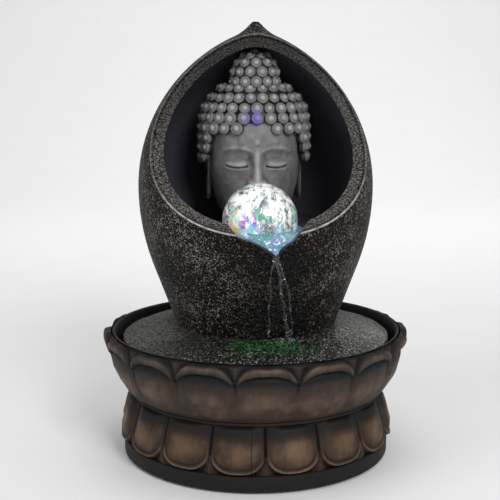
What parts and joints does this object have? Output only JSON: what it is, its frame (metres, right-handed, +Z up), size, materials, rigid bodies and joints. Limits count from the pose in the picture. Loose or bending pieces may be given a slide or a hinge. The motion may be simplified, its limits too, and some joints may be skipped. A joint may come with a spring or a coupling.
{
  "type": "tabletop water fountain",
  "caption": "Tabletop fountain with a stone-look hood over a statue head, a lit crystal ball turning on a water jet, and a lotus bowl and base that hide the pump.",
  "frame": {"origin": "on the table, under the middle of the base", "axes": "+Z up along the object's axis, front of the hood towards -Y, +X to the right as seen from the front"},
  "size_m": [0.214, 0.214, 0.3],
  "materials": {
    "bronze_resin": "bronze-painted resin, brushed highlights",
    "bowl_resin": "dark bronze-painted resin, brushed highlights",
    "grit_resin": "gritty, wet",
    "stone_resin": "granular stone texture",
    "statue_resin": "antiqued grey",
    "crystal": "clear, crackled inside",
    "clear_acrylic": "clear",
    "black_rubber": "matt",
    "felt": "felt",
    "black_plastic": "satin",
    "white_plastic": "satin",
    "red_plastic": "satin",
    "lamp_epoxy": "clear dome",
    "steel": "plain",
    "shaft_ceramic": "polished",
    "ferrite": "moulded magnet",
    "hose_pvc": "clear soft tube",
    "sponge_foam": "open foam"
  },
  "bodies": {
    "base": {"pedestal": "bronze_resin", "foot_pads": "felt", "waist_ring": "black_rubber", "lotus_bowl": "bowl_resin", "bowl_screws": "steel", "cord_grommet": "black_rubber", "pump_motor": "black_plastic", "pump_volute": "black_plastic", "pump_shaft": "shaft_ceramic", "shaft_bushes": "black_rubber", "suction_cups": "black_rubber"},
    "hood": {"deck": "grit_resin", "deck_legs": "grit_resin", "leg_tips": "black_rubber", "shell": "stone_resin", "shell_screws": "steel", "statue_head": "statue_resin", "head_dowel": "steel", "nozzle": "black_plastic", "led_housing": "white_plastic", "led_lamps": "lamp_epoxy", "led_lens": "clear_acrylic", "cup_gasket": "black_rubber", "ball_cup": "clear_acrylic", "led_lead": "black_rubber", "led_plug": "black_plastic", "riser_tube": "hose_pvc"},
    "ball": {"crystal_ball": "crystal"},
    "rotor": {"pump_rotor": "ferrite"},
    "cover": {"intake_cover": "black_plastic", "intake_sponge": "sponge_foam"},
    "dial": {"flow_dial": "red_plastic"}
  },
  "joints": [
    {"name": "hood_lift", "type": "slide", "parent": "base", "child": "hood", "axis": [0, 0, 1], "range_m": [0, 0.15]},
    {"name": "ball_spin", "type": "hinge", "parent": "hood", "child": "ball", "pos_m": [0, -0.04205, 0.17], "axis": [1, 0, 0], "continuous": true},
    {"name": "rotor_spin", "type": "hinge", "parent": "base", "child": "rotor", "pos_m": [0, -0.038, 0.068], "axis": [0, 1, 0], "continuous": true},
    {"name": "cover_pull", "type": "slide", "parent": "base", "child": "cover", "axis": [0, -1, 0], "range_m": [0, 0.015]},
    {"name": "dial_turn", "type": "hinge", "parent": "cover", "child": "dial", "pos_m": [0, -0.059, 0.071], "axis": [0, 1, 0], "range_deg": [0, 90]}
  ]
}
